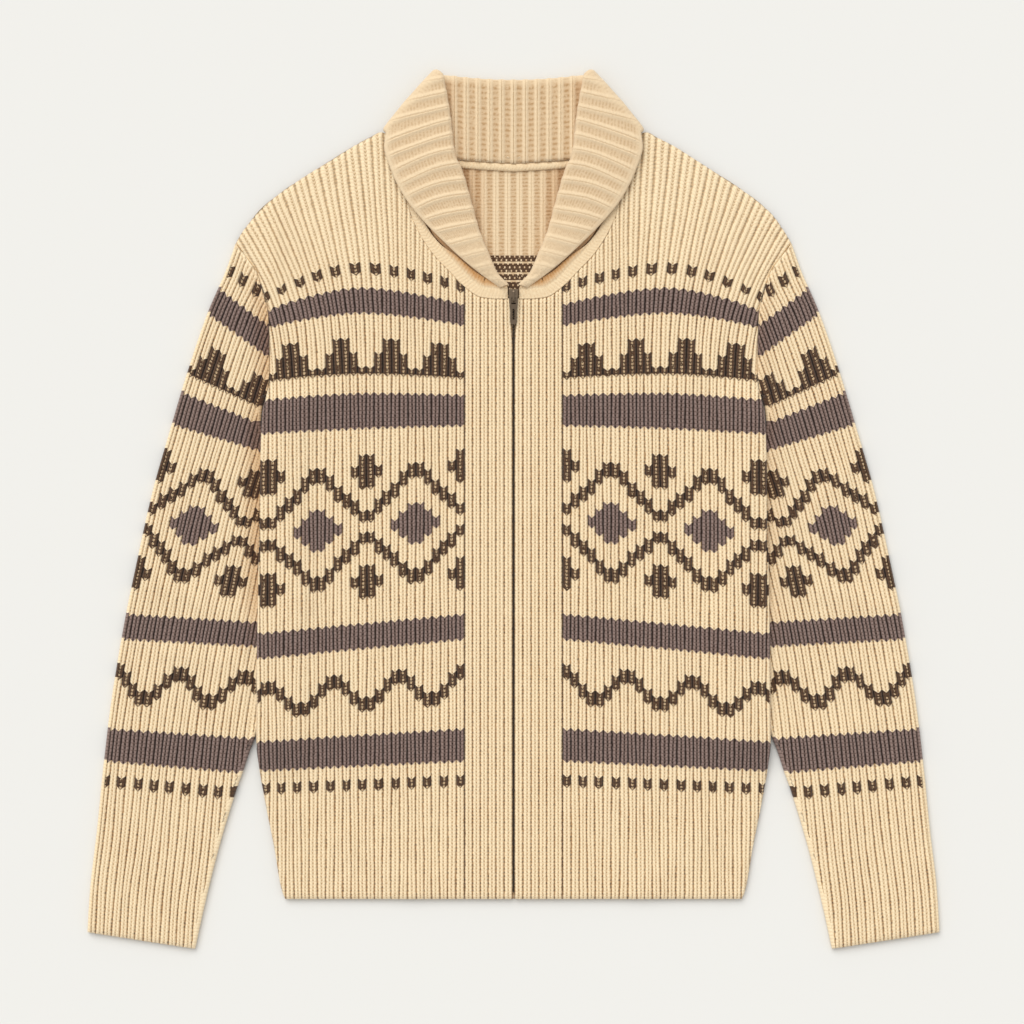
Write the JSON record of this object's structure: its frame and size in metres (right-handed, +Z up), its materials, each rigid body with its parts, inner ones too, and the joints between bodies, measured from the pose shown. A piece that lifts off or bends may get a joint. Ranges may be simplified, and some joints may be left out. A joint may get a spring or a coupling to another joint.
{
  "type": "cardigan",
  "caption": "Heavy ribbed wool cardigan with a shawl collar, long sleeves and a full front zip, laid flat with its front up.",
  "frame": {"origin": "on the floor under the middle of the garment's outline", "axes": "+X to the wearer's left, +Y towards the collar, +Z up out of the front"},
  "size_m": [0.786, 0.8101, 0.0197],
  "materials": {
    "knit": "matt woollen yarn in heavy rib, cream ground with a geometric colourwork in brown and grey-brown",
    "zip_tape": "matt woven tape",
    "zip_teeth": "blackened metal",
    "zip_metal": "antique, worn at the edges"
  },
  "bodies": {
    "garment": {"back": "knit", "right_front": "knit", "left_front": "knit", "right_front_band": "knit", "left_front_band": "knit", "right_sleeve": "knit", "left_sleeve": "knit", "collar": "knit", "right_neck_edging": "knit", "left_neck_edging": "knit", "neck_tape": "knit", "zip_tape_right": "zip_tape", "zip_tape_left": "zip_tape", "zip_chain": "zip_teeth", "zip_slider": "zip_metal"},
    "pull_tab": {"zip_pull": "zip_metal"}
  },
  "joints": [
    {"name": "pull_tab_hinge", "type": "hinge", "parent": "garment", "child": "pull_tab", "pos_m": [0, 0.196, 0.0114], "axis": [-1, 0, 0], "range_deg": [0, 150]}
  ]
}
